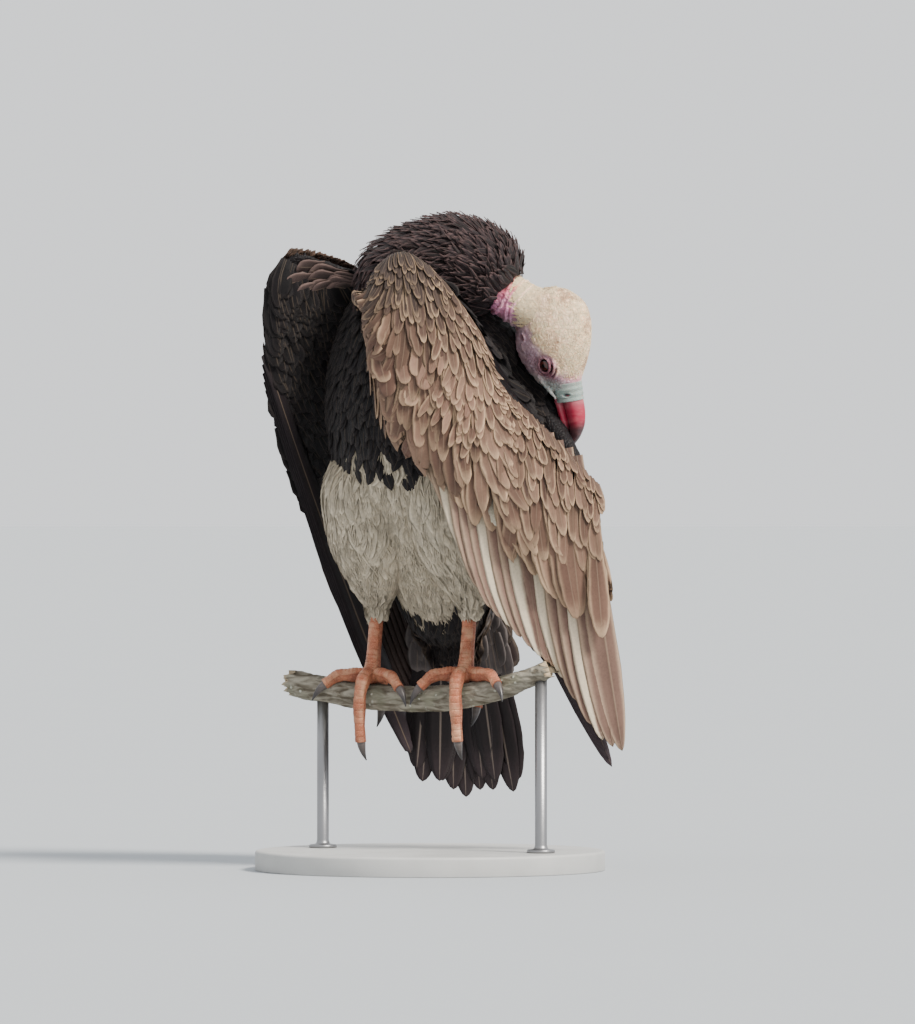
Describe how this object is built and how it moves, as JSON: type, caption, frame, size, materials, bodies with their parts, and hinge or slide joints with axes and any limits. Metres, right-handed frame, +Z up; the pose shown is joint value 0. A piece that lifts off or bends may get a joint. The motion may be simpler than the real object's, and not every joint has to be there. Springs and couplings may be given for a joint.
{
  "type": "white-headed vulture, perched and preening",
  "caption": "Life-size white-headed vulture gripping a short branch, head turned back to preen under its half-open left wing, held by a plain round display stand.",
  "frame": {"origin": "centre of the round base's flat underside", "axes": "+Z up through the stand to the bird; the bird faces -Y turned 30 degrees towards -X; +X is towards its left wing tip"},
  "size_m": [0.367, 0.35, 0.6531],
  "materials": {
    "stand": "satin paint",
    "perch_bark": "weathered bark with grey-olive lichen",
    "dark_feathers": "blackish-brown feathers, soft sheen",
    "brown_feathers": "brown feathers with pale worn edges",
    "white_feathers": "soft white down and body feathers",
    "head_down": "short cream-white down over pinkish skin",
    "neck_skin": "bare wrinkled pink skin",
    "cere": "smooth pale blue-green skin",
    "bill": "red horn, dark at the hook",
    "eye": "dark brown, wet gloss",
    "leg_skin": "salmon-pink scaled skin",
    "claw": "blackish horn"
  },
  "bodies": {
    "root": {"stand_base": "stand", "stand_rod_1": "stand", "stand_rod_2": "stand", "perch": "perch_bark", "trunk": "dark_feathers", "ruff": "dark_feathers", "neck": "neck_skin", "head": "head_down", "cere": "cere", "bill_upper": "bill", "bill_lower": "bill", "eye_left": "eye", "eye_right": "eye", "wing_left_upper_arm": "dark_feathers", "wing_left_coverts": "brown_feathers", "wing_left_shoulder": "dark_feathers", "wing_left_secondaries": "brown_feathers", "wing_left_primaries": "dark_feathers", "wing_right_coverts": "brown_feathers", "wing_right_primaries": "dark_feathers", "wing_right_secondaries": "dark_feathers", "tail": "dark_feathers", "foot_left": "leg_skin", "tarsus_left": "leg_skin", "thigh_left": "white_feathers", "claw_left_middle": "claw", "claw_left_inner": "claw", "claw_left_outer": "claw", "claw_left_hind": "claw", "foot_right": "leg_skin", "tarsus_right": "leg_skin", "thigh_right": "white_feathers", "claw_right_middle": "claw", "claw_right_inner": "claw", "claw_right_outer": "claw", "claw_right_hind": "claw"}
  },
  "joints": []
}
